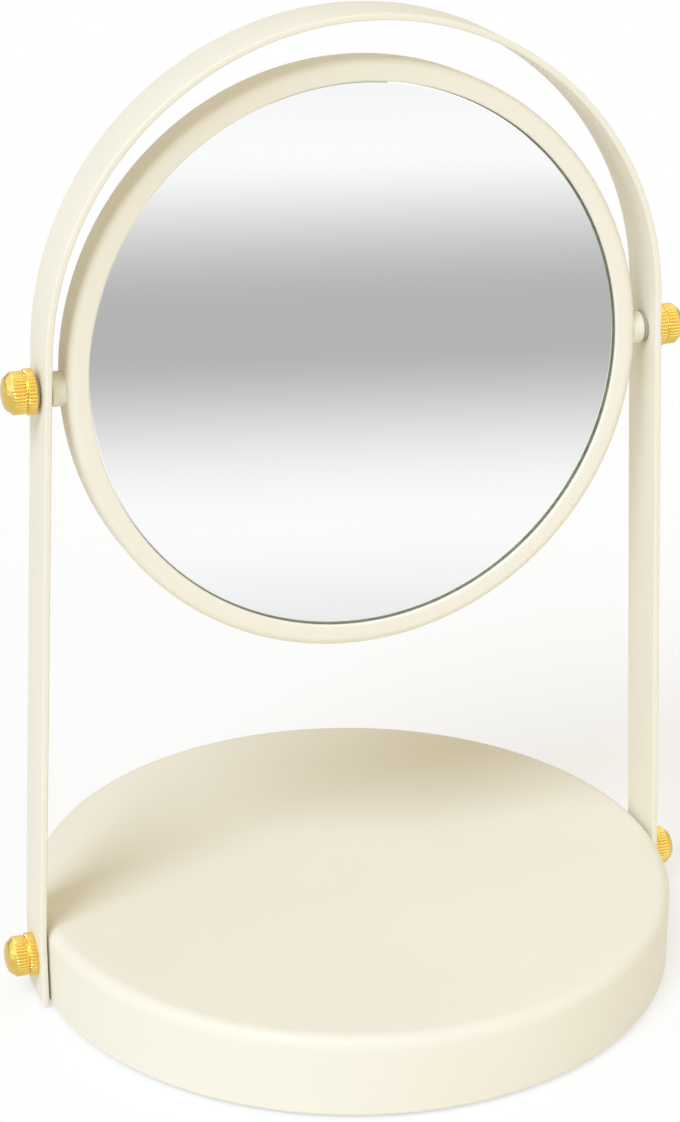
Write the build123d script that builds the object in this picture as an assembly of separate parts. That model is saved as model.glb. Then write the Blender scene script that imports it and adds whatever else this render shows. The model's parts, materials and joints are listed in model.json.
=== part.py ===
from build123d import *
from math import acos, atan2, cos, degrees, hypot, pi, sin, tan
import os

# Table mirror on a round tray base. A flat strip, bent to a hoop, stands outside a pressed steel
# drum. A round two-sided mirror hangs between its legs. All sizes are in millimetres.
# Frame: +Z up, -Y towards the person, X along the pivots, origin on the table under the drum's centre.

# ---- drum base
base_radius = 100.0
base_top = 26.5            # tray surface above the table
base_sheet = 1.2           # pressed sheet of the drum
base_edge_radius = 4.0     # rounded upper edge
hem_height = 3.0           # folded rim at the open underside
foot_proud = 1.0           # rim of the drum above the table

# ---- bottom plate with its posts, screws and feet
plate_thickness = 1.2
plate_recess = 1.0         # plate set up inside the rim
plate_clearance = 0.5      # all round, to the folded rim
post_inset = 42.0          # drum wall to the centres of the posts
post_radius = 4.0
post_count = 4
screw_radius = 2.0
screw_head_radius = 3.6
screw_head_height = 1.0
screw_length = 9.0
screw_head_edge = 0.6      # rounding of the heads
screw_slot = 0.8           # width of the cross slot
screw_hole_spare = 1.0     # the posts are drilled this much deeper than the screws reach
thread_clearance = 0.05    # radial, between a thread and its nut or post
foot_inset = 20.0          # drum wall to the centres of the feet
foot_radius = 7.0
foot_edge = 0.5            # bevel where a foot meets the table
foot_draft = 0.3           # a foot narrows this much towards the plate
foot_stem_radius = 2.5
foot_lip = 0.8             # how far the stem's head reaches past its hole
foot_stem_head = 2.0       # height of the stem's head
foot_stem_tip = 1.5        # radius of the stem's tip
foot_count = 4

# ---- hoop
strip_width = 19.0
strip_thickness = 2.0
strip_edge_radius = 0.5
leg_gap = 0.3              # leg to drum wall
leg_foot = 1.0             # lower end of the legs above the table
leg_upright = 23.0         # the legs stand straight up to here, then lean in
leg_bend_radius = 60.0     # inner face, where the lean begins
leg_draw_in = 8.7          # the arch's radius is this much less than half the width at the foot
arch_above_pivot = 7.7     # centre of the arch above the pivots

# ---- knobs, all four alike
knob_radius = 6.6          # over the ridges of the collar
knob_barrel_radius = 6.15
knob_groove_radius = 5.5
knob_crown_radius = 4.5
knob_collar = 2.3
knob_groove = 0.8
knob_barrel = 3.5
knob_bevel = 1.7
knob_crown = 0.9
knob_ridges = 36
knob_ridge_depth = 0.35
knob_bore_depth = 6.0
stud_radius = 2.5
stud_hole_clearance = 0.15 # radial, in sheet metal
stud_end_chamfer = 0.4

# ---- drum fixing
drum_knob_height = 14.5
saddle_thickness = 2.0
saddle_width = 14.0
saddle_height = 11.2
saddle_seat = 0.05         # saddle to the inside of the drum wall
nut_height = 4.0
nut_across_flats = 8.0
stud_past_nut = 1.5

# ---- pivots
ring_above_tray = 81.2     # lowest line of the upright mirror above the tray
spacer_radius = 5.0
spacer_edge_radius = 0.6
washer_thickness = 0.8
washer_inset = 0.2         # washer edge inside the spacer's edge
slip = 0.1                 # between faces that turn on each other
stud_head_width = 8.0
stud_head_thickness = 1.2
stud_head_clearance = 0.15 # to the rear ring's spigot

# ---- mirror
tilt = 3.3                 # degrees, top of the mirror leaning back
ring_side_gap = 4.6        # ring to the inner face of the arch, bridged by spacer and washer
ring_wall = 1.6
ring_lip = 2.3             # thickness of the lip in front of the glass
ring_lip_width = 6.4       # outer wall to the lip's inner edge
ring_shoulder = 3.4        # where the lip's curve leaves the outer wall
ring_crest = 3.0           # highest line of the lip, in from the outer wall
ring_lip_drop = 1.6        # the lip's inner edge behind the crest
rear_ring_height = 2.9     # depth of the separate rear ring
spigot_wall = 1.2
spigot_clearance = 0.1
spigot_depth = 1.1
glass_thickness = 3.0
board_thickness = 2.8      # backing board between the two glasses
glass_play = 0.05          # axial, at each face of the stack
glass_edge_gap = 0.25      # glass edge to the stud heads
glass_bevel = 0.3

# ---- values that follow
rim_z = foot_proud
plate_bottom = rim_z + plate_recess
plate_top = plate_bottom + plate_thickness
plate_radius = base_radius - 2 * base_sheet - plate_clearance
drum_inside = base_radius - base_sheet
roof_z = base_top - base_sheet
post_circle = base_radius - post_inset
foot_circle = base_radius - foot_inset
leg_inside = base_radius + leg_gap
leg_outside = leg_inside + strip_thickness
arch_radius = leg_inside - leg_draw_in
ring_radius = arch_radius - ring_side_gap
pivot_height = base_top + ring_above_tray + ring_radius
arch_height = pivot_height + arch_above_pivot
lean_width = leg_inside - leg_bend_radius
lean_height = arch_height - leg_upright
lean_reach = (arch_radius - leg_bend_radius) / hypot(lean_width, lean_height)
leg_lean = acos(lean_reach) - atan2(lean_height, lean_width)
washer_radius = spacer_radius - washer_inset
leg_at_pivot = (arch_radius + arch_above_pivot * sin(leg_lean)) / cos(leg_lean)
washer_slope = washer_radius * tan(leg_lean)
inner_washer_face = leg_at_pivot - washer_slope - slip
outer_washer_face = leg_at_pivot + strip_thickness / cos(leg_lean) + washer_slope + slip
pivot_knob_seat = outer_washer_face + washer_thickness + slip
stud_hole_radius = stud_radius + stud_hole_clearance
knob_length = knob_collar + knob_groove + knob_barrel + knob_bevel + knob_crown
ring_depth = board_thickness + 2 * (glass_thickness + glass_play + ring_lip)
ring_half = ring_depth / 2
ring_inside = ring_radius - ring_wall
ring_opening = ring_radius - ring_lip_width
parting = ring_half - rear_ring_height
glass_radius = ring_inside - stud_head_thickness - glass_edge_gap
glass_front = -ring_half + ring_lip + glass_play
stud_head_depth = 2 * (parting - spigot_depth - stud_head_clearance)
side_x = {"left": -1, "right": 1}


def lathe(points):
    """Solid of revolution about the Z axis, from an outline given as (radius, height) points."""
    outline = Polyline(*points, close=True)
    return revolve(Plane.XZ * make_face(outline), Axis.Z, 360)


def along_x(solid, start):
    """Turn a solid made along +Z to point along +X, with its foot at x = start."""
    return Pos(start, 0, 0) * Rot(0, 90, 0) * solid


def on_side(solid, side):
    """A piece made for the right side, or its mirror image for the left."""
    return solid if side_x[side] > 0 else mirror(solid, about=Plane.YZ)


def rod(radius, length, z=0.0):
    """Upright cylinder standing on height z."""
    return Pos(0, 0, z) * Cylinder(radius, length, align=(Align.CENTER, Align.CENTER, Align.MIN))


def ring_of(solid, count, circle_radius, first_angle):
    """Copies of a solid, evenly spaced on a circle about the Z axis."""
    step = 360 / count
    return [Rot(0, 0, first_angle + step * i) * Pos(circle_radius, 0, 0) * solid for i in range(count)]


def at_pivot(shape):
    """Place a piece of the mirror, made about the origin, at the pivots and tilt it."""
    return Pos(0, 0, pivot_height) * Rot(-tilt, 0, 0) * shape


# ---------------------------------------------------------------- drum base
def drum_section():
    """Half section of the drum: flat top, rounded edge, wall and folded rim."""
    r, s = base_radius, base_sheet
    bend = base_edge_radius
    outer_top = Line((0, base_top), (r - bend, base_top))
    outer_bend = RadiusArc(outer_top @ 1, (r, base_top - bend), bend)
    outer_wall = Line(outer_bend @ 1, (r, rim_z))
    rim = Line(outer_wall @ 1, (r - 2 * s, rim_z))
    hem = Polyline(rim @ 1, (r - 2 * s, rim_z + hem_height), (r - s, rim_z + hem_height))
    inner_wall = Line(hem @ 1, (r - s, base_top - bend))
    inner_bend = RadiusArc(inner_wall @ 1, (r - bend, roof_z), -(bend - s))
    inner_top = Line(inner_bend @ 1, (0, roof_z))
    axis = Line(inner_top @ 1, (0, base_top))
    outside = [outer_top, outer_bend, outer_wall, rim]
    inside = [*hem.edges(), inner_wall, inner_bend, inner_top, axis]
    return make_face(outside + inside)


def make_base_shell():
    shell = revolve(Plane.XZ * drum_section(), Axis.Z, 360)
    bore = Rot(0, 90, 0) * Cylinder(stud_hole_radius, 3 * base_radius)
    return shell - Pos(0, 0, drum_knob_height) * bore


def make_base_plate():
    plate = rod(plate_radius, plate_thickness, plate_bottom)
    screw_hole = rod(screw_radius + stud_hole_clearance, base_top, 0)
    foot_hole = rod(foot_stem_radius, base_top, 0)
    plate = plate - ring_of(screw_hole, post_count, post_circle, 45)
    return plate - ring_of(foot_hole, foot_count, foot_circle, 0)


def make_plate_posts():
    """Threaded posts welded under the drum's top, which hold the bottom plate."""
    post = rod(post_radius, roof_z - plate_top, plate_top)
    post -= rod(screw_radius + thread_clearance, screw_length + screw_hole_spare, plate_bottom)
    return ring_of(post, post_count, post_circle, 45)


def make_plate_screws():
    """Low-headed screws with a cross slot, up through the plate into the posts."""
    head = rod(screw_head_radius, screw_head_height, plate_bottom - screw_head_height)
    head = fillet(head.edges().sort_by(Axis.Z)[0], screw_head_edge)
    slot = Box(screw_head_radius, screw_slot, screw_head_height)
    slot = Pos(0, 0, plate_bottom - screw_head_height) * (slot + Rot(0, 0, 90) * slot)
    screw = head + rod(screw_radius, screw_length, plate_bottom) - slot
    return ring_of(screw, post_count, post_circle, 45)


def make_rubber_feet():
    """Round feet whose stems snap through the bottom plate."""
    neck = foot_stem_radius
    head = neck + foot_lip
    foot_top = plate_bottom
    outline = [
        (0, 0),
        (foot_radius - foot_edge, 0),
        (foot_radius, foot_edge),
        (foot_radius - foot_draft, foot_top),
        (neck, foot_top),
        (neck, plate_top),
        (head, plate_top),
        (foot_stem_tip, plate_top + foot_stem_head),
        (0, plate_top + foot_stem_head),
    ]
    return ring_of(lathe(outline), foot_count, foot_circle, 0)


# ---------------------------------------------------------------- hoop
def half_hoop_line(offset):
    """Right half of the hoop's side view, at a distance outside its inner face, foot to top."""
    radius = arch_radius + offset
    foot = Line((leg_inside + offset, leg_foot), (leg_inside + offset, leg_upright))
    bend = JernArc(foot @ 1, (0, 1), leg_bend_radius + offset, degrees(leg_lean))
    leg = Line(bend @ 1, (radius * cos(leg_lean), arch_height + radius * sin(leg_lean)))
    arch = RadiusArc(leg @ 1, (0, arch_height + radius), -radius)
    return [foot, bend, leg, arch]


def make_hoop():
    inner = half_hoop_line(0)
    outer = half_hoop_line(strip_thickness)
    foot_end = Line(inner[0] @ 0, outer[0] @ 0)
    top_end = Line(inner[-1] @ 1, outer[-1] @ 1)
    side_view = Plane.XZ * make_face([*inner, top_end, *outer, foot_end])
    half = extrude(side_view, strip_width / 2, both=True)
    hoop = half + mirror(half, about=Plane.YZ)
    sides = hoop.faces().filter_by(Axis.Y)
    hoop = fillet(sides.edges(), strip_edge_radius)
    bore = Rot(0, 90, 0) * Cylinder(stud_hole_radius, 3 * base_radius)
    return hoop - Pos(0, 0, drum_knob_height) * bore - Pos(0, 0, pivot_height) * bore


# ---------------------------------------------------------------- knobs and studs
def ridged_band(radius, height, z):
    """Short cylinder with straight V ridges all round, standing on height z."""
    points = []
    for i in range(2 * knob_ridges):
        reach = radius if i % 2 == 0 else radius - knob_ridge_depth
        angle = pi * i / knob_ridges
        points.append((reach * cos(angle), reach * sin(angle)))
    outline = make_face(Polyline(*points, close=True))
    return Pos(0, 0, z) * extrude(outline, height)


def make_knob():
    """Knob along +Z with its seat at z = 0: ridged collar, groove, ridged barrel, polished crown."""
    barrel_z = knob_collar + knob_groove
    bevel_z = barrel_z + knob_barrel
    crown_z = bevel_z + knob_bevel
    core = rod(knob_groove_radius, barrel_z)
    collar = ridged_band(knob_radius, knob_collar, 0)
    barrel = ridged_band(knob_barrel_radius, knob_barrel, barrel_z)
    smooth = knob_barrel_radius - knob_ridge_depth
    crown_start = Line((0, bevel_z), (smooth, bevel_z))
    bevel = Line(crown_start @ 1, (knob_crown_radius, crown_z))
    dome_radius = (knob_crown_radius**2 + knob_crown**2) / (2 * knob_crown)
    dome = RadiusArc(bevel @ 1, (0, knob_length), -dome_radius)
    axis = Line(dome @ 1, crown_start @ 0)
    crown = revolve(Plane.XZ * make_face([crown_start, bevel, dome, axis]), Axis.Z, 360)
    bore = rod(stud_radius + thread_clearance, knob_bore_depth)
    return core + collar + barrel + crown - bore


def make_drum_knob(side):
    return on_side(Pos(0, 0, drum_knob_height) * along_x(make_knob(), leg_outside), side)


def make_drum_stud(side):
    """Threaded stud of a drum knob, through the leg, the drum wall, the saddle and the nut."""
    inner_end = drum_inside - saddle_thickness - nut_height - stud_past_nut
    outer_end = leg_outside + knob_bore_depth - slip
    stud = chamfer(rod(stud_radius, outer_end - inner_end).edges(), stud_end_chamfer)
    return on_side(Pos(0, 0, drum_knob_height) * along_x(stud, inner_end), side)


def make_pivot_knob(side):
    return on_side(Pos(0, 0, pivot_height) * along_x(make_knob(), pivot_knob_seat), side)


# ---------------------------------------------------------------- inside the drum
def make_drum_saddles():
    """Pads that are round against the drum wall and flat under the nut."""
    inner = drum_inside - saddle_thickness
    block = Box(
        2 * saddle_thickness,
        saddle_width,
        saddle_height,
        align=(Align.MIN, Align.CENTER, Align.CENTER),
    )
    pad = Pos(inner, 0, drum_knob_height) * block & Cylinder(drum_inside - saddle_seat, 4 * base_top)
    bore = Rot(0, 90, 0) * Cylinder(stud_hole_radius, 8 * saddle_thickness)
    pad -= Pos(inner, 0, drum_knob_height) * bore
    return [on_side(pad, side) for side in side_x]


def make_drum_nuts():
    hexagon = RegularPolygon(nut_across_flats / 2, 6, major_radius=False)
    nut = extrude(hexagon, nut_height)
    nut -= rod(stud_radius + thread_clearance, nut_height)
    start = drum_inside - saddle_thickness - nut_height
    nut = Pos(0, 0, drum_knob_height) * along_x(nut, start)
    return [on_side(nut, side) for side in side_x]


# ---------------------------------------------------------------- mirror
def lip_curve(y_sign):
    """Rounded lip of the ring's section, from the outer wall over the crest to the inner edge."""
    shoulder = (ring_radius, y_sign * (ring_half - ring_shoulder))
    crest = (ring_radius - ring_crest, y_sign * ring_half)
    edge = (ring_opening, y_sign * (ring_half - ring_lip_drop))
    return ThreePointArc(shoulder, crest, edge)


def ring_envelope():
    """The whole frame, front and rear ring in one, hollow behind both lips."""
    front = lip_curve(-1)
    rear = lip_curve(1)
    wall = Line(rear @ 0, front @ 0)
    seat = ring_half - ring_lip
    hollow = Polyline(
        front @ 1,
        (ring_opening, -seat),
        (ring_inside, -seat),
        (ring_inside, seat),
        (ring_opening, seat),
        rear @ 1,
    )
    return revolve(make_face([front, *hollow.edges(), rear, wall]), Axis.Y, 360)


def behind(y):
    """Large block filling the space behind a plane of constant y."""
    size = 4 * ring_radius
    return Pos(0, y, 0) * Box(size, size, size, align=(Align.CENTER, Align.MIN, Align.CENTER))


def make_mirror_ring():
    ring = ring_envelope() - behind(parting)
    bore = Rot(0, 90, 0) * Cylinder(stud_hole_radius, 3 * ring_radius)
    return ring - bore


def disc(radius, y_start, y_end):
    """Round plate facing along Y."""
    middle = (y_start + y_end) / 2
    return Pos(0, middle, 0) * Rot(90, 0, 0) * Cylinder(radius, y_end - y_start)


def make_rear_ring():
    """Rear ring, with a spigot that slides into the front ring's wall."""
    ring = ring_envelope() & behind(parting)
    outer = ring_inside - spigot_clearance
    lip_middle = ring_half - ring_lip / 2
    spigot = disc(outer, parting - spigot_depth, lip_middle)
    collar = disc(ring_inside + spigot_clearance, parting, lip_middle)
    return ring + (spigot + collar - disc(outer - spigot_wall, -ring_depth, lip_middle))


def make_glass(y_sign):
    face = y_sign * glass_front
    back = face + y_sign * glass_thickness
    glass = disc(glass_radius, min(face, back), max(face, back))
    return chamfer(glass.edges(), glass_bevel)


def make_backing_board():
    half = board_thickness / 2
    return disc(glass_radius - glass_edge_gap, -half, half)


def make_pivot_stud(side):
    """Stud with a flat head that bears on the inside of the ring's wall."""
    head_x = ring_inside - stud_head_thickness
    head = Pos(head_x, 0, 0) * Box(
        2 * stud_head_thickness,
        stud_head_depth,
        stud_head_width,
        align=(Align.MIN, Align.CENTER, Align.CENTER),
    )
    head &= Rot(90, 0, 0) * Cylinder(ring_inside - saddle_seat, ring_depth)
    end = pivot_knob_seat + knob_bore_depth - slip
    shank = chamfer(rod(stud_radius, end - head_x).edges().sort_by(Axis.Z)[-1], stud_end_chamfer)
    return on_side(head + along_x(shank, head_x), side)


def make_pivot_spacer(side):
    """Cream spacer, coped at its inner end to sit on the round wall of the ring."""
    outer_end = inner_washer_face - washer_thickness - slip
    blank = rod(spacer_radius, outer_end - ring_inside)
    blank = fillet(blank.edges().sort_by(Axis.Z)[-1], spacer_edge_radius)
    spacer = along_x(blank, ring_inside)
    spacer -= Rot(90, 0, 0) * Cylinder(ring_radius, 2 * ring_depth)
    spacer -= Rot(0, 90, 0) * Cylinder(stud_hole_radius, 3 * ring_radius)
    return on_side(spacer, side)


def make_washers(start):
    """Nylon washers of both pivots, standing at x = start and mirrored."""
    washer = rod(washer_radius, washer_thickness) - rod(stud_hole_radius, washer_thickness)
    washer = Pos(0, 0, pivot_height) * along_x(washer, start)
    return [on_side(washer, side) for side in side_x]


# ---------------------------------------------------------------- the set of parts
parts = {
    "base_shell": make_base_shell(),
    "base_plate": make_base_plate(),
    "plate_posts": make_plate_posts(),
    "plate_screws": make_plate_screws(),
    "rubber_feet": make_rubber_feet(),
    "hoop": make_hoop(),
    "drum_saddles": make_drum_saddles(),
    "drum_nuts": make_drum_nuts(),
    "mirror_ring": at_pivot(make_mirror_ring()),
    "rear_ring": at_pivot(make_rear_ring()),
    "front_glass": at_pivot(make_glass(1)),
    "rear_glass": at_pivot(make_glass(-1)),
    "backing_board": at_pivot(make_backing_board()),
    "pivot_inner_washers": make_washers(inner_washer_face - washer_thickness),
    "pivot_outer_washers": make_washers(outer_washer_face),
}
for side in side_x:
    parts["pivot_stud_" + side] = at_pivot(make_pivot_stud(side))
    parts["pivot_spacer_" + side] = at_pivot(make_pivot_spacer(side))
    parts["pivot_knob_" + side] = make_pivot_knob(side)
    parts["drum_knob_" + side] = make_drum_knob(side)
    parts["drum_stud_" + side] = make_drum_stud(side)

os.makedirs("parts", exist_ok=True)
for name, shape in parts.items():
    solids = Compound(children=shape) if isinstance(shape, list) else shape
    export_step(solids, f"parts/{name}.step")
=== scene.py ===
import bmesh
import bpy
import json
from math import acos, atan2, cos, hypot, pi, radians, sin, sqrt, tau
from mathutils import Matrix, Vector


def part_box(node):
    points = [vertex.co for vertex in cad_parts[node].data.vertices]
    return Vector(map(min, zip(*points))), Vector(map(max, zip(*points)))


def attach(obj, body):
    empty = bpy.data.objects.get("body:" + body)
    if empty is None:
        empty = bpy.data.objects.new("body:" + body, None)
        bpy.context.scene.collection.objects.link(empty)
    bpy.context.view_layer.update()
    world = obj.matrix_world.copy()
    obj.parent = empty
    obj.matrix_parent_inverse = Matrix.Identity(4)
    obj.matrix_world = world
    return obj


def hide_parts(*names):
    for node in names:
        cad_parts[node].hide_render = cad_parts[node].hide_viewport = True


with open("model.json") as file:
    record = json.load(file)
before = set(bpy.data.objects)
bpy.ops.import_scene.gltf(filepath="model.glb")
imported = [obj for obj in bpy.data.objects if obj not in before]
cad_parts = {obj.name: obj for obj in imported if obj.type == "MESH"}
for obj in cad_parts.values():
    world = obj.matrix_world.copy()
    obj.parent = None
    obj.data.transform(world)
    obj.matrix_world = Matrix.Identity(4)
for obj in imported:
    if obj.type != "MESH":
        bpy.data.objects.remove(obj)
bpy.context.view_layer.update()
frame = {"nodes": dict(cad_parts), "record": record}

MM = 0.001

# ---------------------------------------------------------------- sizes, in metres
# Outer sizes come from the boxes of the frame's nodes. The rest repeat the part's sizes, or are
# finer edges, corners and lines that only the scene has.
drum_low, drum_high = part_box("base_shell")
hoop_low, hoop_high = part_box("hoop")
ring_low, ring_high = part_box("mirror_ring")
glass_low, glass_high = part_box("front_glass")
spacer_low, spacer_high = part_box("pivot_spacer_right")
pivot_knob_low, pivot_knob_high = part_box("pivot_knob_right")
drum_knob_low, drum_knob_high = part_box("drum_knob_right")

DRUM_RADIUS = drum_high.x
DRUM_RIM = drum_low.z
DRUM_TOP = drum_high.z
DRUM_SHEET = 1.2 * MM
DRUM_EDGE = 4.0 * MM
DRUM_WALL_RING = 6.0 * MM  # a ring of points this far below the rounded edge
HEM_HEIGHT = 3.0 * MM

STRIP_WIDTH = hoop_high.y - hoop_low.y
STRIP_THICKNESS = 2.0 * MM
STRIP_EDGE = 0.55 * MM
LEG_FOOT = hoop_low.z
LEG_OUTSIDE = hoop_high.x
LEG_INSIDE = LEG_OUTSIDE - STRIP_THICKNESS
LEG_UPRIGHT = 23.0 * MM
LEG_BEND = 60.0 * MM

PIVOT_HEIGHT = (pivot_knob_low.z + pivot_knob_high.z) / 2
DRUM_KNOB_HEIGHT = (drum_knob_low.z + drum_knob_high.z) / 2
ARCH_INSIDE = 91.6 * MM
ARCH_CENTRE = hoop_high.z - ARCH_INSIDE - STRIP_THICKNESS

KNOB_RADIUS = (drum_knob_high.z - drum_knob_low.z) / 2

SPACER_RADIUS = (spacer_high.z - spacer_low.z) / 2
SPACER_END = spacer_high.x
SPACER_EDGE = 0.6 * MM
SPACER_BORE = 2.7 * MM
SPACER_SINK = 0.05 * MM  # into the ring's wall

TILT = radians(3.3)
RING_RADIUS = (ring_high.x - ring_low.x) / 2
RING_HALF = 6.75 * MM
RING_WALL = 1.6 * MM
RING_LIP = 2.3 * MM
RING_LIP_WIDTH = 6.4 * MM
RING_OPENING = RING_RADIUS - RING_LIP_WIDTH
RING_SEAT = RING_HALF - RING_LIP  # of the glass, from the ring's middle plane
RING_CORNER = 2.6 * MM
RING_INNER_CORNER = 0.7 * MM
# The lip's inner wall is painted dark olive this deep beside the glass, as painted shade.
PAINTED_SHADE_DEPTH = 1.0 * MM
RING_CROWN = 0.30 * MM
REAR_RING_HEIGHT = 2.9 * MM
RING_PARTING = RING_HALF - REAR_RING_HEIGHT
SPIGOT = 1.3 * MM  # wall and play of the rear ring's spigot, inside the front ring
PARTING_EDGE = 0.12 * MM
PARTING_STEP = 0.10 * MM
GLASS_RADIUS = (glass_high.x - glass_low.x) / 2
GLASS_THICKNESS = 3.0 * MM
GLASS_PLAY = 0.05 * MM
# The glass's outer band, this wide by the lip, is painted dark olive as painted shade.
PAINTED_SHADE_LINE = 0.12 * MM
BEVEL_LINE = 0.45 * MM
BEVEL_DROP = 0.05 * MM

# ---------------------------------------------------------------- camera, fitted to the photograph
PHOTO_SIZE = (680, 1122)
FOCAL_PIXELS = 2662.17
CAMERA_PLACE = Vector((-0.24937, -0.69265, 0.43961))
CAMERA_YAW = radians(-19.50)
CAMERA_PITCH = radians(-22.79)
CAMERA_ROLL = radians(0.28)
SENSOR = 36.0  # mm


# ---------------------------------------------------------------- mesh helpers
SMOOTH_ANGLE = radians(35)
WELD_DISTANCE = 1e-6


def new_object(name, verts, faces, smooth_angle=SMOOTH_ANGLE):
    """Mesh object with smooth shading, kept sharp where faces meet at more than the angle."""
    mesh = bpy.data.meshes.new(name)
    mesh.from_pydata(verts, [], faces)
    mesh.validate()
    mesh.update()
    for face in mesh.polygons:
        face.use_smooth = True
    mesh.set_sharp_from_angle(angle=smooth_angle)
    obj = bpy.data.objects.new(name, mesh)
    bpy.context.scene.collection.objects.link(obj)
    return obj


def arc(centre, radius, start, end, steps):
    """Points of an arc in a plane, angles in radians."""
    points = []
    for i in range(steps + 1):
        angle = start + (end - start) * i / steps
        points.append((centre[0] + radius * cos(angle), centre[1] + radius * sin(angle)))
    return points


def ring_faces(rings, segments, closed=False):
    """Faces between neighbouring rings of points; closed also joins the last to the first."""
    faces = []
    for i in range(rings if closed else rings - 1):
        low, high = i * segments, (i + 1) % rings * segments
        for s in range(segments):
            t = (s + 1) % segments
            faces.append((low + s, low + t, high + t, high + s))
    return faces


def lathe(name, profile, segments, place, closed=True):
    """Revolve (radius, height) points; place turns (radius, height, angle) into a point."""
    verts = []
    for r, h in profile:
        for s in range(segments):
            verts.append(place(r, h, tau * s / segments))
    return new_object(name, verts, ring_faces(len(profile), segments, closed))


def upright(r, h, angle):
    """Lathe about the Z axis."""
    return (r * cos(angle), r * sin(angle), h)


def in_mirror(x, y, z):
    """A point given in the upright mirror's own frame, moved to the pivots and tilted back."""
    turned = Matrix.Rotation(-TILT, 3, "X") @ Vector((x, y, z))
    return turned + Vector((0, 0, PIVOT_HEIGHT))


def about_mirror(r, h, angle):
    """Lathe about the mirror's own axis; h runs from front to back."""
    return in_mirror(r * cos(angle), h, r * sin(angle))


def weld(obj, smooth_angle=SMOOTH_ANGLE):
    """Join doubled points, as on the axis of a lathe, and turn the faces outward."""
    work = bmesh.new()
    work.from_mesh(obj.data)
    bmesh.ops.remove_doubles(work, verts=work.verts, dist=WELD_DISTANCE)
    bmesh.ops.recalc_face_normals(work, faces=work.faces)
    work.to_mesh(obj.data)
    work.free()
    obj.data.set_sharp_from_angle(angle=smooth_angle)
    return obj


# ---------------------------------------------------------------- material helpers
def grey(value):
    return (value, value, value, 1)


def scaled(colour, factor):
    return tuple(c * factor for c in colour)


def fill_ramp(node, stops):
    """Give a colour ramp its (position, brightness) stops."""
    elements = node.color_ramp.elements
    while len(elements) < len(stops):
        elements.new(0.5)
    for element, (position, brightness) in zip(elements, stops):
        element.position = position
        element.color = grey(brightness)


class Shader:
    """Short calls for building one node material."""

    def __init__(self, name):
        self.material = bpy.data.materials.new(name)
        self.material.use_nodes = True
        self.tree = self.material.node_tree
        self.bsdf = self.tree.nodes["Principled BSDF"]
        self.output = self.tree.nodes["Material Output"]
        self.coords = self.tree.nodes.new("ShaderNodeTexCoord").outputs["Object"]

    def node(self, kind, **settings):
        made = self.tree.nodes.new(kind)
        for key, value in settings.items():
            setattr(made, key, value)
        return made

    def link(self, a, b):
        self.tree.links.new(a, b)

    def set(self, **values):
        for key, value in values.items():
            self.bsdf.inputs[key.replace("_", " ")].default_value = value

    def noise(self, scale, detail=3.0, stretch=(1, 1, 1)):
        """Grey noise in the piece's own coordinates; stretch squeezes it along each axis."""
        mapping = self.node("ShaderNodeMapping")
        mapping.inputs["Scale"].default_value = stretch
        self.link(self.coords, mapping.inputs["Vector"])
        noise = self.node("ShaderNodeTexNoise")
        noise.inputs["Scale"].default_value = scale
        noise.inputs["Detail"].default_value = detail
        self.link(mapping.outputs["Vector"], noise.inputs["Vector"])
        return noise.outputs["Fac"]

    def ramp(self, factor, stops):
        """Grey ramp, eased between its (position, brightness) stops."""
        ramp = self.node("ShaderNodeValToRGB")
        ramp.color_ramp.interpolation = "EASE"
        fill_ramp(ramp, stops)
        self.link(factor, ramp.inputs["Fac"])
        return ramp.outputs["Color"]

    def span(self, factor, low, high, from_low=0.3, from_high=0.7):
        """Map a value onto low..high. Most of a noise lies between the default 0.3 and 0.7."""
        node = self.node("ShaderNodeMapRange")
        node.inputs["From Min"].default_value = from_low
        node.inputs["From Max"].default_value = from_high
        node.inputs["To Min"].default_value = low
        node.inputs["To Max"].default_value = high
        self.link(factor, node.inputs["Value"])
        return node.outputs["Result"]

    def mix(self, factor, a, b):
        """Blend two colours, each a tuple or the output of a node."""
        node = self.node("ShaderNodeMix", data_type="RGBA")
        self.link(factor, node.inputs["Factor"])
        for socket, value in ((node.inputs["A"], a), (node.inputs["B"], b)):
            if isinstance(value, tuple):
                socket.default_value = (*value, 1)
            else:
                self.link(value, socket)
        return node.outputs["Result"]

    def ripple(self, scale, detail, amount):
        """Surface normal, tilted a little by coloured noise."""
        noise = self.node("ShaderNodeTexNoise")
        noise.inputs["Scale"].default_value = scale
        noise.inputs["Detail"].default_value = detail
        self.link(self.coords, noise.inputs["Vector"])
        centred = self.node("ShaderNodeVectorMath", operation="SUBTRACT")
        self.link(noise.outputs["Color"], centred.inputs[0])
        centred.inputs[1].default_value = (0.5, 0.5, 0.5)
        tilt = self.node("ShaderNodeVectorMath", operation="MULTIPLY_ADD")
        self.link(centred.outputs["Vector"], tilt.inputs[0])
        tilt.inputs[1].default_value = (amount, amount, amount)
        self.link(self.node("ShaderNodeNewGeometry").outputs["Normal"], tilt.inputs[2])
        unit = self.node("ShaderNodeVectorMath", operation="NORMALIZE")
        self.link(tilt.outputs["Vector"], unit.inputs[0])
        return unit.outputs["Vector"]

    def bump(self, height, strength, distance):
        """Surface normal from a height map that is distance metres deep."""
        node = self.node("ShaderNodeBump")
        node.inputs["Strength"].default_value = strength
        node.inputs["Distance"].default_value = distance
        self.link(height, node.inputs["Height"])
        return node.outputs["Normal"]


CREAM = (0.865, 0.816, 0.695)
GOLD = (0.96, 0.68, 0.17)


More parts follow.
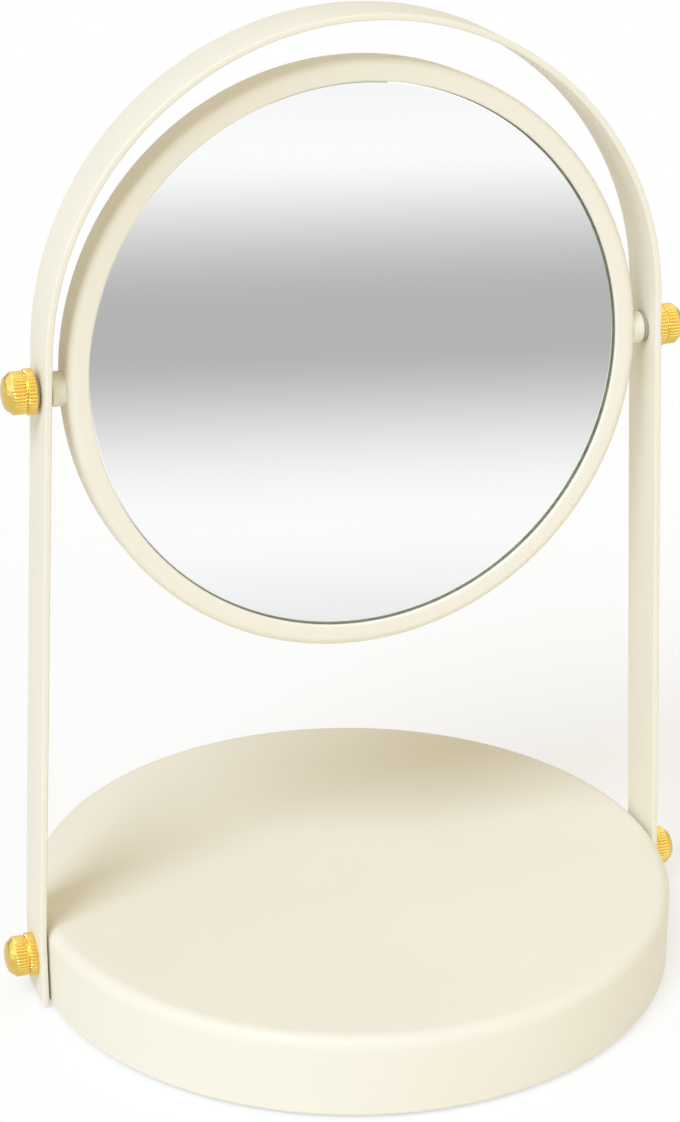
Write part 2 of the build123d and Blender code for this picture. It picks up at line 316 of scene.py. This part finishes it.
def powder_coat():
    """Satin cream powder coat: fine orange peel, faint mottling, slightly worn gloss."""
    s = Shader("cream_powder_coat")
    mottle = s.span(s.noise(14.0, 4.0), 0.0, 1.0)
    colour = s.mix(mottle, scaled(CREAM, 0.985), scaled(CREAM, 1.012))
    fleck = s.span(s.noise(2600.0, 2.0), 0.0, 1.0, 0.70, 0.80)
    colour = s.mix(fleck, colour, scaled(CREAM, 0.94))
    s.link(colour, s.bsdf.inputs["Base Color"])
    s.link(s.span(s.noise(55.0, 5.0), 0.44, 0.52), s.bsdf.inputs["Roughness"])
    s.link(s.ripple(600.0, 1.0, 0.045), s.bsdf.inputs["Normal"])
    s.set(Specular_IOR_Level=0.40, Coat_Weight=0.04, Coat_Roughness=0.40)
    return s.material


def gold():
    """Polished gold-coloured brass, with turning lines and small dull spots."""
    s = Shader("gold_brass")
    cloud = s.span(s.noise(420.0, 4.0), 0.0, 1.0)
    s.link(s.mix(cloud, scaled(GOLD, 0.93), scaled(GOLD, 1.02)), s.bsdf.inputs["Base Color"])
    s.link(s.span(s.noise(900.0, 4.0), 0.14, 0.22), s.bsdf.inputs["Roughness"])
    turning = s.bump(s.noise(1.0, 2.0, stretch=(5000.0, 60.0, 60.0)), 0.03, 0.015 * MM)
    s.link(turning, s.bsdf.inputs["Normal"])
    s.set(Metallic=1.0)
    return s.material


def mirror_silver():
    """Silvered float glass with the faintest dust and wiping marks."""
    s = Shader("mirror_silver")
    haze = s.span(s.noise(18.0, 5.0, stretch=(1.0, 1.0, 3.0)), 0.0, 1.0)
    s.link(s.mix(haze, (0.955, 0.962, 0.962), (0.965, 0.968, 0.966)), s.bsdf.inputs["Base Color"])
    s.link(s.span(s.noise(40.0, 5.0), 0.008, 0.022), s.bsdf.inputs["Roughness"])
    dust = s.bump(s.noise(2500.0, 1.0), 0.004, 0.02 * MM)
    s.link(dust, s.bsdf.inputs["Normal"])
    s.set(Metallic=1.0)
    return s.material


def painted_shade_gap():
    """Dark olive painted shade of the gap between lip and glass, on the glass's outer band and the
    lip's inner wall.
    """
    s = Shader("mirror_edge")
    tone = s.span(s.noise(300.0, 4.0), 0.0, 1.0)
    s.link(s.mix(tone, (0.17, 0.17, 0.10), (0.26, 0.26, 0.17)), s.bsdf.inputs["Base Color"])
    s.link(s.span(s.noise(1200.0), 0.30, 0.50), s.bsdf.inputs["Roughness"])
    s.link(s.bump(s.noise(2400.0), 0.2, 0.05 * MM), s.bsdf.inputs["Normal"])
    return s.material


def steel():
    """Zinc-plated steel of the screws, nuts and studs."""
    s = Shader("zinc_steel")
    tone = s.span(s.noise(260.0, 5.0), 0.0, 1.0)
    s.link(s.mix(tone, (0.50, 0.51, 0.52), (0.68, 0.68, 0.66)), s.bsdf.inputs["Base Color"])
    s.link(s.span(s.noise(700.0, 4.0), 0.26, 0.44), s.bsdf.inputs["Roughness"])
    s.link(s.bump(s.noise(1800.0), 0.15, 0.03 * MM), s.bsdf.inputs["Normal"])
    s.set(Metallic=1.0)
    return s.material


def rubber():
    """Matt black rubber with moulded grain."""
    s = Shader("black_rubber")
    tone = s.span(s.noise(120.0, 5.0), 0.0, 1.0)
    s.link(s.mix(tone, (0.020, 0.020, 0.021), (0.045, 0.044, 0.042)), s.bsdf.inputs["Base Color"])
    s.link(s.span(s.noise(500.0), 0.62, 0.82), s.bsdf.inputs["Roughness"])
    s.link(s.bump(s.noise(1500.0, 3.0), 0.35, 0.08 * MM), s.bsdf.inputs["Normal"])
    return s.material


def nylon():
    """Natural nylon of the washers and saddles."""
    s = Shader("natural_nylon")
    tone = s.span(s.noise(180.0, 4.0), 0.0, 1.0)
    s.link(s.mix(tone, (0.40, 0.37, 0.26), (0.48, 0.45, 0.33)), s.bsdf.inputs["Base Color"])
    s.link(s.span(s.noise(500.0), 0.38, 0.52), s.bsdf.inputs["Roughness"])
    s.link(s.bump(s.noise(1100.0), 0.12, 0.04 * MM), s.bsdf.inputs["Normal"])
    s.set(Subsurface_Weight=0.08)
    return s.material


def board():
    """Grey-brown fibre board between the glasses."""
    s = Shader("fibre_board")
    fibre = s.span(s.noise(160.0, 6.0, stretch=(1.0, 1.0, 6.0)), 0.0, 1.0)
    s.link(s.mix(fibre, (0.30, 0.24, 0.17), (0.44, 0.36, 0.27)), s.bsdf.inputs["Base Color"])
    s.link(s.span(s.noise(300.0), 0.75, 0.95), s.bsdf.inputs["Roughness"])
    s.link(s.bump(s.noise(900.0, 4.0), 0.4, 0.1 * MM), s.bsdf.inputs["Normal"])
    return s.material


materials = {
    "powder_coat": powder_coat(),
    "gold_brass": gold(),
    "mirror_glass": mirror_silver(),
    # mirror_edge is painted shade: the dark gap between the lip and the glass.
    "mirror_edge": painted_shade_gap(),
    "zinc_steel": steel(),
    "rubber": rubber(),
    "nylon": nylon(),
    "board": board(),
}
materials["plate_steel"] = materials["powder_coat"]


def paint(obj, slot):
    """Give a piece one material over its whole surface."""
    obj.data.materials.clear()
    obj.data.materials.append(materials[slot])
    return obj


def dress(obj, body, slot, *nodes):
    """Paint a piece, ride it on its body and let it stand for its CAD nodes."""
    paint(obj, slot)
    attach(obj, body)
    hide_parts(*nodes)
    return obj


# ---------------------------------------------------------------- drum base
ROUND_SEGMENTS = 288
TOP_RINGS = 12
EDGE_STEPS = 12
INNER_EDGE_STEPS = 8
HEM_STEPS = 10


def make_drum():
    """Pressed drum: flat top, rounded edge, wall, and the rim folded back inside."""
    r, t = DRUM_RADIUS, DRUM_SHEET
    bend = (r - DRUM_EDGE, DRUM_TOP - DRUM_EDGE)
    profile = [(0.0, DRUM_TOP)]
    profile += [((r - DRUM_EDGE) * i / TOP_RINGS, DRUM_TOP) for i in range(1, TOP_RINGS)]
    profile += arc(bend, DRUM_EDGE, pi / 2, 0, EDGE_STEPS)
    profile += [(r, DRUM_TOP - DRUM_EDGE - DRUM_WALL_RING), (r, DRUM_RIM + t)]
    profile += arc((r - t, DRUM_RIM + t), t, 0, -pi, HEM_STEPS)[1:]
    profile += [(r - 2 * t, DRUM_RIM + HEM_HEIGHT), (r - t, DRUM_RIM + HEM_HEIGHT)]
    profile += arc(bend, DRUM_EDGE - t, 0, pi / 2, INNER_EDGE_STEPS)
    profile += [(0.0, DRUM_TOP - t)]
    return weld(lathe("drum_base", profile, ROUND_SEGMENTS, upright, closed=False))


# ---------------------------------------------------------------- hoop
FOOT_STEPS = 4
BEND_STEPS = 8
LEG_STEPS = 12
ARCH_STEPS = 72
STRIP_EDGE_STEPS = 5
STRIP_SMOOTH_ANGLE = radians(50)


def hoop_path():
    """Points (x, z, outward angle) along the hoop's inner face, from the right foot to the left."""
    width = LEG_INSIDE - LEG_BEND
    height = ARCH_CENTRE - LEG_UPRIGHT
    lean = acos((ARCH_INSIDE - LEG_BEND) / hypot(width, height)) - atan2(height, width)
    points = []
    for i in range(FOOT_STEPS):
        points.append((LEG_INSIDE, LEG_FOOT + (LEG_UPRIGHT - LEG_FOOT) * i / FOOT_STEPS, 0.0))
    for i in range(BEND_STEPS + 1):
        angle = lean * i / BEND_STEPS
        points.append((width + LEG_BEND * cos(angle), LEG_UPRIGHT + LEG_BEND * sin(angle), angle))
    x, z = points[-1][:2]
    end_x, end_z = ARCH_INSIDE * cos(lean), ARCH_CENTRE + ARCH_INSIDE * sin(lean)
    for i in range(1, LEG_STEPS):
        points.append((x + (end_x - x) * i / LEG_STEPS, z + (end_z - z) * i / LEG_STEPS, lean))
    for i in range(ARCH_STEPS + 1):
        angle = lean + (pi / 2 - lean) * i / ARCH_STEPS
        points.append((ARCH_INSIDE * cos(angle), ARCH_CENTRE + ARCH_INSIDE * sin(angle), angle))
    left = [(-x, z, pi - angle) for x, z, angle in reversed(points[:-1])]
    return points + left


def strip_section():
    """Rounded rectangle (distance outward, y), once round."""
    half, t, e = STRIP_WIDTH / 2, STRIP_THICKNESS, STRIP_EDGE
    section = []
    corners = ((t - e, half - e), (e, half - e), (e, e - half), (t - e, e - half))
    for quarter, corner in enumerate(corners):
        start = quarter * pi / 2
        section += arc(corner, e, start, start + pi / 2, STRIP_EDGE_STEPS)
    return section


def make_hoop():
    """The strip's section carried along the path, with both ends closed."""
    section = strip_section()
    path = hoop_path()
    count = len(section)
    verts = []
    for x, z, angle in path:
        for out, y in section:
            verts.append((x + out * cos(angle), y, z + out * sin(angle)))
    faces = []
    for i in range(len(path) - 1):
        for k in range(count):
            n = (k + 1) % count
            faces.append((i * count + k, (i + 1) * count + k, (i + 1) * count + n, i * count + n))
    last = (len(path) - 1) * count
    faces.append(tuple(range(count)))
    faces.append(tuple(last + k for k in reversed(range(count))))
    return new_object("hoop_strip", verts, faces, STRIP_SMOOTH_ANGLE)


# ---------------------------------------------------------------- knobs
RIDGES = 36
RIDGE_STEPS = 8
RIDGE_DEPTH = 0.42 * MM
COLLAR = 2.5 * MM
GROOVE = 0.45 * MM
BARREL = 3.65 * MM
BEVEL = 1.7 * MM
BARREL_RADIUS = 6.15 * MM
GROOVE_RADIUS = 5.75 * MM
CROWN_RADIUS = 4.5 * MM
CROWN = 0.9 * MM
CROWN_STEPS = 8
KNOB_EDGE = 0.3 * MM
GROOVE_EDGE = 0.1 * MM
BEVEL_INSET = 1.3 * KNOB_EDGE
BEVEL_START = 0.12 * MM
CROWN_RIM = 0.15 * MM
CROWN_RIM_OUT = 0.12 * MM
CROWN_RIM_IN = 0.1 * MM
EDGE_DEPTH = 0.6 * RIDGE_DEPTH
BEVEL_DEPTH = 0.3 * RIDGE_DEPTH
CREST_POWER = 0.6  # below 1: wide crests and narrow valleys


def ridge(radius, depth, angle):
    """Radius of a ridged band: rounded crests between narrow valleys."""
    wave = abs(sin(RIDGES * angle / 2))
    return radius - depth * (1 - wave**CREST_POWER)


def knob_rings():
    """(distance from the seat, radius, ridge depth) of each ring of points of a knob."""
    barrel_start = COLLAR + GROOVE
    barrel_end = barrel_start + BARREL
    bevel_end = barrel_end + BEVEL
    edge = KNOB_EDGE
    rings = [
        (0.0, KNOB_RADIUS - edge, 0.0),
        (edge, KNOB_RADIUS, RIDGE_DEPTH),
        (COLLAR - edge, KNOB_RADIUS, RIDGE_DEPTH),
        (COLLAR, KNOB_RADIUS - edge, EDGE_DEPTH),
        (COLLAR + GROOVE_EDGE, GROOVE_RADIUS, 0.0),
        (barrel_start - GROOVE_EDGE, GROOVE_RADIUS, 0.0),
        (barrel_start, BARREL_RADIUS - edge, EDGE_DEPTH),
        (barrel_start + edge, BARREL_RADIUS, RIDGE_DEPTH),
        (barrel_end - edge, BARREL_RADIUS, RIDGE_DEPTH),
        (barrel_end, BARREL_RADIUS - edge, BEVEL_DEPTH),
        (barrel_end + BEVEL_START, BARREL_RADIUS - BEVEL_INSET, 0.0),
        (bevel_end - CROWN_RIM, CROWN_RADIUS + CROWN_RIM_OUT, 0.0),
        (bevel_end, CROWN_RADIUS - CROWN_RIM_IN, 0.0),
    ]
    dome = (CROWN_RADIUS**2 + CROWN**2) / (2 * CROWN)
    for i in range(1, CROWN_STEPS + 1):
        r = CROWN_RADIUS * (1 - i / CROWN_STEPS)
        rings.append((bevel_end + sqrt(dome**2 - r**2) - (dome - CROWN), r, 0.0))
    return rings


def make_knob(name, side, seat, height):
    """One knob, its seat at the given distance from the middle, on the right (1) or left (-1)."""
    segments = RIDGES * RIDGE_STEPS
    rings = knob_rings()
    verts = []
    for along, radius, depth in rings:
        for s in range(segments):
            angle = tau * s / segments
            r = ridge(radius, depth, angle) if depth else radius
            verts.append((side * (seat + along), r * cos(angle), height + r * sin(angle)))
    faces = [tuple(reversed(range(segments)))] + ring_faces(len(rings), segments)
    return weld(new_object(name, verts, faces))


# ---------------------------------------------------------------- mirror
CORNER_STEPS = 10
INNER_CORNER_STEPS = 8
GLASS_SEGMENTS = 256
SPACER_SEGMENTS = 96
SPACER_EDGE_STEPS = 6
GLASS_SMOOTH_ANGLE = radians(3)  # keeps the flat glass apart from its shallow bevel
WALL_TOLERANCE = 0.05 * MM


def lip_points(sign):
    """Lip, from the outer wall round the outer corner and over its face to the inner edge."""
    corner = (RING_RADIUS - RING_CORNER, sign * (RING_HALF - RING_CORNER))
    start, end = 0, sign * pi / 2
    points = arc(corner, RING_CORNER, start, end, CORNER_STEPS)
    inner = (RING_OPENING + RING_INNER_CORNER, sign * (RING_HALF - RING_CROWN - RING_INNER_CORNER))
    points += arc(inner, RING_INNER_CORNER, end, end * 2, INNER_CORNER_STEPS)
    return points


def add_painted_shade(ring, sign):
    """Paint the ring, with the lip's inner wall dark beside the glass as painted shade of the gap.
    """
    ring.data.materials.append(materials["powder_coat"])
    ring.data.materials.append(materials["mirror_edge"])
    back = Matrix.Rotation(TILT, 3, "X")
    for polygon in ring.data.polygons:
        place = back @ (polygon.center - Vector((0, 0, PIVOT_HEIGHT)))
        # Painted shade on the lip's inner wall, beside the glass.
        on_wall = abs(hypot(place.x, place.z) - RING_OPENING) < WALL_TOLERANCE
        if on_wall and RING_SEAT < sign * place.y < RING_SEAT + PAINTED_SHADE_DEPTH:
            polygon.material_index = 1
    return ring


def make_front_ring():
    """Front ring: lip, seat of the glass and outer wall up to the parting line."""
    inside = RING_RADIUS - RING_WALL
    profile = [(RING_RADIUS - PARTING_EDGE, RING_PARTING)]
    profile += [(RING_RADIUS, RING_PARTING - PARTING_EDGE)]
    profile += lip_points(-1)
    profile += [(RING_OPENING, -RING_SEAT - PAINTED_SHADE_DEPTH), (RING_OPENING, -RING_SEAT)]
    profile += [(inside, -RING_SEAT), (inside, RING_PARTING)]
    return add_painted_shade(weld(lathe("mirror_frame", profile, ROUND_SEGMENTS, about_mirror)), -1)


def make_rear_ring():
    """Rear ring: the other lip, closing the frame behind the parting line."""
    inside = RING_RADIUS - RING_WALL - SPIGOT
    curve = [p for p in lip_points(1) if p[1] > RING_PARTING + PARTING_EDGE]
    profile = [(curve[0][0] - PARTING_STEP, RING_PARTING)] + curve
    profile += [(RING_OPENING, RING_SEAT + PAINTED_SHADE_DEPTH), (RING_OPENING, RING_SEAT)]
    profile += [(inside, RING_SEAT), (inside, RING_PARTING)]
    return add_painted_shade(weld(lathe("mirror_rear_frame", profile, ROUND_SEGMENTS, about_mirror)), 1)


def make_glass(name, sign):
    """Mirror glass: silvered face and shallow bevel, then a dark olive band by the lip, painted
    shade of the gap.
    """
    face = sign * (RING_SEAT - GLASS_PLAY)
    back = face - sign * GLASS_THICKNESS
    dark = RING_OPENING - PAINTED_SHADE_LINE
    ground = dark - BEVEL_LINE
    lower = face - sign * 2 * BEVEL_DROP
    profile = [(0.0, face), (ground / 2, face), (ground, face)]
    profile += [(dark, face - sign * BEVEL_DROP), (dark + BEVEL_DROP, lower)]
    profile += [(GLASS_RADIUS, lower), (GLASS_RADIUS, back), (0.0, back)]
    glass = lathe(name, profile, GLASS_SEGMENTS, about_mirror, closed=False)
    weld(glass, GLASS_SMOOTH_ANGLE)
    glass.data.materials.append(materials["mirror_glass"])
    glass.data.materials.append(materials["mirror_edge"])
    middle = in_mirror(0, 0, 0)
    # The outer band of the glass gets the painted shade.
    for polygon in glass.data.polygons:
        if (polygon.center - middle).length > dark:
            polygon.material_index = 1
    return glass


def make_spacer(name, side):
    """Cream spacer, coped at its inner end to the ring's round wall."""
    edge = SPACER_EDGE
    coped = None
    rings = [(coped, SPACER_RADIUS), (SPACER_END - edge, SPACER_RADIUS)]
    for i in range(1, SPACER_EDGE_STEPS + 1):
        angle = pi / 2 * i / SPACER_EDGE_STEPS
        along = SPACER_END - edge + edge * sin(angle)
        rings.append((along, SPACER_RADIUS - edge + edge * cos(angle)))
    rings.append((SPACER_END, SPACER_BORE))
    verts = []
    for along, radius in rings:
        for s in range(SPACER_SEGMENTS):
            angle = tau * s / SPACER_SEGMENTS
            y, z = radius * cos(angle), radius * sin(angle)
            x = sqrt(RING_RADIUS**2 - z**2) - SPACER_SINK if along is coped else along
            verts.append(in_mirror(side * x, y, z))
    return weld(new_object(name, verts, ring_faces(len(rings), SPACER_SEGMENTS)))


# ---------------------------------------------------------------- the pieces
dress(make_drum(), "base", "powder_coat", "base_shell")
dress(make_hoop(), "base", "powder_coat", "hoop")
for ring, name in ((make_front_ring(), "mirror_ring"), (make_rear_ring(), "rear_ring")):
    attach(ring, "mirror")
    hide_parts(name)

for name, sign in (("front_glass", -1), ("rear_glass", 1)):
    glass = make_glass(name + "_silvered", sign)
    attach(glass, "mirror")
    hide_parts(name)

for side, sign in (("left", -1), ("right", 1)):
    spacer = make_spacer("pivot_spacer_" + side + "_coped", sign)
    dress(spacer, "mirror", "powder_coat", "pivot_spacer_" + side)
    knob = make_knob("pivot_knob_" + side + "_knurled", sign, pivot_knob_low.x, PIVOT_HEIGHT)
    dress(knob, "pivot_knob_" + side, "gold_brass", "pivot_knob_" + side)
    knob = make_knob("drum_knob_" + side + "_knurled", sign, drum_knob_low.x, DRUM_KNOB_HEIGHT)
    dress(knob, "drum_knob_" + side, "gold_brass", "drum_knob_" + side)

for entry in frame["record"]["subparts"]:
    node = frame["nodes"][entry["node"]]
    paint(node, entry["material_slot"])


# ---------------------------------------------------------------- stage: floor, world and lamps
FLOOR_SIZE = 30.0
FLOOR_ALBEDO = 0.95
# Polished surfaces see the white floor with one soft grey band across it, as from a dark flag
# over the studio table: (distance in front of the mirror in metres, brightness).
FLOOR_BANDS = [
    (0.25, 0.78),
    (0.52, 1.00),
    (0.95, 0.47),
    (1.05, 0.47),
    (1.85, 1.00),
    (2.60, 0.95),
]
BAND_REACH = 2.6
BAND_DIRECTION = (0.334, -0.943, 0.0)  # of the photo's line of sight, turned back by the mirror
# The camera sees the lit floor mixed with plain white. The share of white is FLOOR_LIFT up to
# FLOOR_NEAR from the middle, and rises to all of it at FLOOR_FAR, in metres.
FLOOR_LIFT = 0.62
FLOOR_NEAR = 0.15
FLOOR_FAR = 0.70


def make_floor():
    """White table that keeps a pale shadow of the object."""
    half = FLOOR_SIZE / 2
    corners = [(-half, -half, 0), (half, -half, 0), (half, half, 0), (-half, half, 0)]
    floor = new_object("floor", corners, [(0, 1, 2, 3)])
    s = Shader("studio_floor")
    s.tree.nodes.remove(s.bsdf)
    ahead = s.node("ShaderNodeVectorMath", operation="DOT_PRODUCT")
    ahead.inputs[1].default_value = BAND_DIRECTION
    s.link(s.coords, ahead.inputs[0])
    reach = s.node("ShaderNodeMath", operation="DIVIDE")
    reach.inputs[1].default_value = BAND_REACH
    s.link(ahead.outputs["Value"], reach.inputs[0])
    bands = s.ramp(reach.outputs["Value"], [(d / BAND_REACH, v) for d, v in FLOOR_BANDS])
    seen = s.node("ShaderNodeEmission")
    s.link(bands, seen.inputs["Color"])
    lit = s.node("ShaderNodeBsdfDiffuse")
    lit.inputs["Color"].default_value = grey(FLOOR_ALBEDO)
    plain = s.node("ShaderNodeEmission")
    plain.inputs["Color"].default_value = grey(1.0)
    path = s.node("ShaderNodeLightPath")
    length = s.node("ShaderNodeVectorMath", operation="LENGTH")
    s.link(s.coords, length.inputs[0])
    whiteness = s.span(length.outputs["Value"], FLOOR_LIFT, 1.0, FLOOR_NEAR, FLOOR_FAR)
    white_seen = s.node("ShaderNodeMath", operation="MULTIPLY")
    s.link(whiteness, white_seen.inputs[0])
    s.link(path.outputs["Is Camera Ray"], white_seen.inputs[1])
    near_mix = s.node("ShaderNodeMixShader")
    s.link(white_seen.outputs["Value"], near_mix.inputs["Fac"])
    s.link(lit.outputs["BSDF"], near_mix.inputs[1])
    s.link(plain.outputs["Emission"], near_mix.inputs[2])
    glossy_mix = s.node("ShaderNodeMixShader")
    s.link(path.outputs["Is Glossy Ray"], glossy_mix.inputs["Fac"])
    s.link(near_mix.outputs["Shader"], glossy_mix.inputs[1])
    s.link(seen.outputs["Emission"], glossy_mix.inputs[2])
    s.link(glossy_mix.outputs["Shader"], s.output.inputs["Surface"])
    floor.data.materials.append(s.material)


AMBIENT = (0.635, 0.565, 0.410)
# What polished surfaces see in the world: (height, brightness), where the height runs from
# 0 straight down through 0.5 at the horizon to 1 straight up.
WORLD_BANDS = [
    (0.00, 1.00),
    (0.50, 1.00),
    (0.54, 0.55),
    (0.60, 0.30),
    (0.66, 0.75),
    (0.74, 1.15),
    (1.00, 1.00),
]


def make_world():
    """Warm tent light. Polished surfaces see WORLD_BANDS in it, which give the gold contrast."""
    world = bpy.data.worlds.new("tent")
    bpy.context.scene.world = world
    world.use_nodes = True
    tree = world.node_tree
    nodes, links = tree.nodes, tree.links
    nodes.clear()
    coords = nodes.new("ShaderNodeTexCoord")
    split = nodes.new("ShaderNodeSeparateXYZ")
    links.new(coords.outputs["Generated"], split.inputs["Vector"])
    ramp = nodes.new("ShaderNodeValToRGB")
    fill_ramp(ramp, WORLD_BANDS)
    lift = nodes.new("ShaderNodeMapRange")
    lift.inputs["From Min"].default_value = -1.0
    links.new(split.outputs["Z"], lift.inputs["Value"])
    links.new(lift.outputs["Result"], ramp.inputs["Fac"])
    soft = nodes.new("ShaderNodeBackground")
    soft.inputs["Color"].default_value = (*AMBIENT, 1)
    shiny = nodes.new("ShaderNodeBackground")
    links.new(ramp.outputs["Color"], shiny.inputs["Color"])
    white = nodes.new("ShaderNodeBackground")
    white.inputs["Color"].default_value = grey(1.0)
    path = nodes.new("ShaderNodeLightPath")
    glossy = nodes.new("ShaderNodeMixShader")
    links.new(path.outputs["Is Glossy Ray"], glossy.inputs["Fac"])
    links.new(soft.outputs["Background"], glossy.inputs[1])
    links.new(shiny.outputs["Background"], glossy.inputs[2])
    camera = nodes.new("ShaderNodeMixShader")
    links.new(path.outputs["Is Camera Ray"], camera.inputs["Fac"])
    links.new(glossy.outputs["Shader"], camera.inputs[1])
    links.new(white.outputs["Background"], camera.inputs[2])
    output = nodes.new("ShaderNodeOutputWorld")
    links.new(camera.outputs["Shader"], output.inputs["Surface"])


def make_sun(name, colour, azimuth, elevation, strength, softness):
    """Distant soft box; angles in degrees, azimuth 0 straight in front, positive to the right."""
    data = bpy.data.lights.new(name, "SUN")
    data.energy = strength
    data.color = colour
    data.angle = radians(softness)
    lamp = bpy.data.objects.new(name, data)
    around, above = radians(azimuth), radians(elevation)
    towards = Vector((sin(around) * cos(above), -cos(around) * cos(above), sin(above)))
    lamp.rotation_euler = towards.to_track_quat("Z", "Y").to_euler()
    bpy.context.scene.collection.objects.link(lamp)


def make_camera():
    """Camera of the photo, turned by yaw, pitch and a slight roll."""
    data = bpy.data.cameras.new("camera")
    data.sensor_width = SENSOR
    data.lens = SENSOR * FOCAL_PIXELS / max(PHOTO_SIZE)
    camera = bpy.data.objects.new("camera", data)
    flat, drop = cos(CAMERA_PITCH), sin(CAMERA_PITCH)
    ahead = Vector((-sin(CAMERA_YAW) * flat, cos(CAMERA_YAW) * flat, drop))
    level = Vector((cos(CAMERA_YAW), sin(CAMERA_YAW), 0))
    up = level.cross(ahead)
    right = level * cos(CAMERA_ROLL) + up * sin(CAMERA_ROLL)
    up = right.cross(ahead)
    turn = Matrix((right, up, -ahead)).transposed()
    camera.matrix_world = Matrix.Translation(CAMERA_PLACE) @ turn.to_4x4()
    bpy.context.scene.collection.objects.link(camera)
    bpy.context.scene.camera = camera


make_floor()
make_world()
make_sun("key", (0.64, 0.77, 1.0), azimuth=-50, elevation=50, strength=1.955, softness=26)
make_sun("fill", (0.96, 1.0, 1.0), azimuth=45, elevation=15, strength=0.31, softness=50)
make_sun("side", (0.72, 0.86, 1.0), azimuth=-82, elevation=5, strength=0.37, softness=50)
make_sun("front", (1.0, 1.0, 1.0), azimuth=0, elevation=20, strength=0.11, softness=40)
make_camera()
bpy.context.scene.view_settings.view_transform = "Standard"
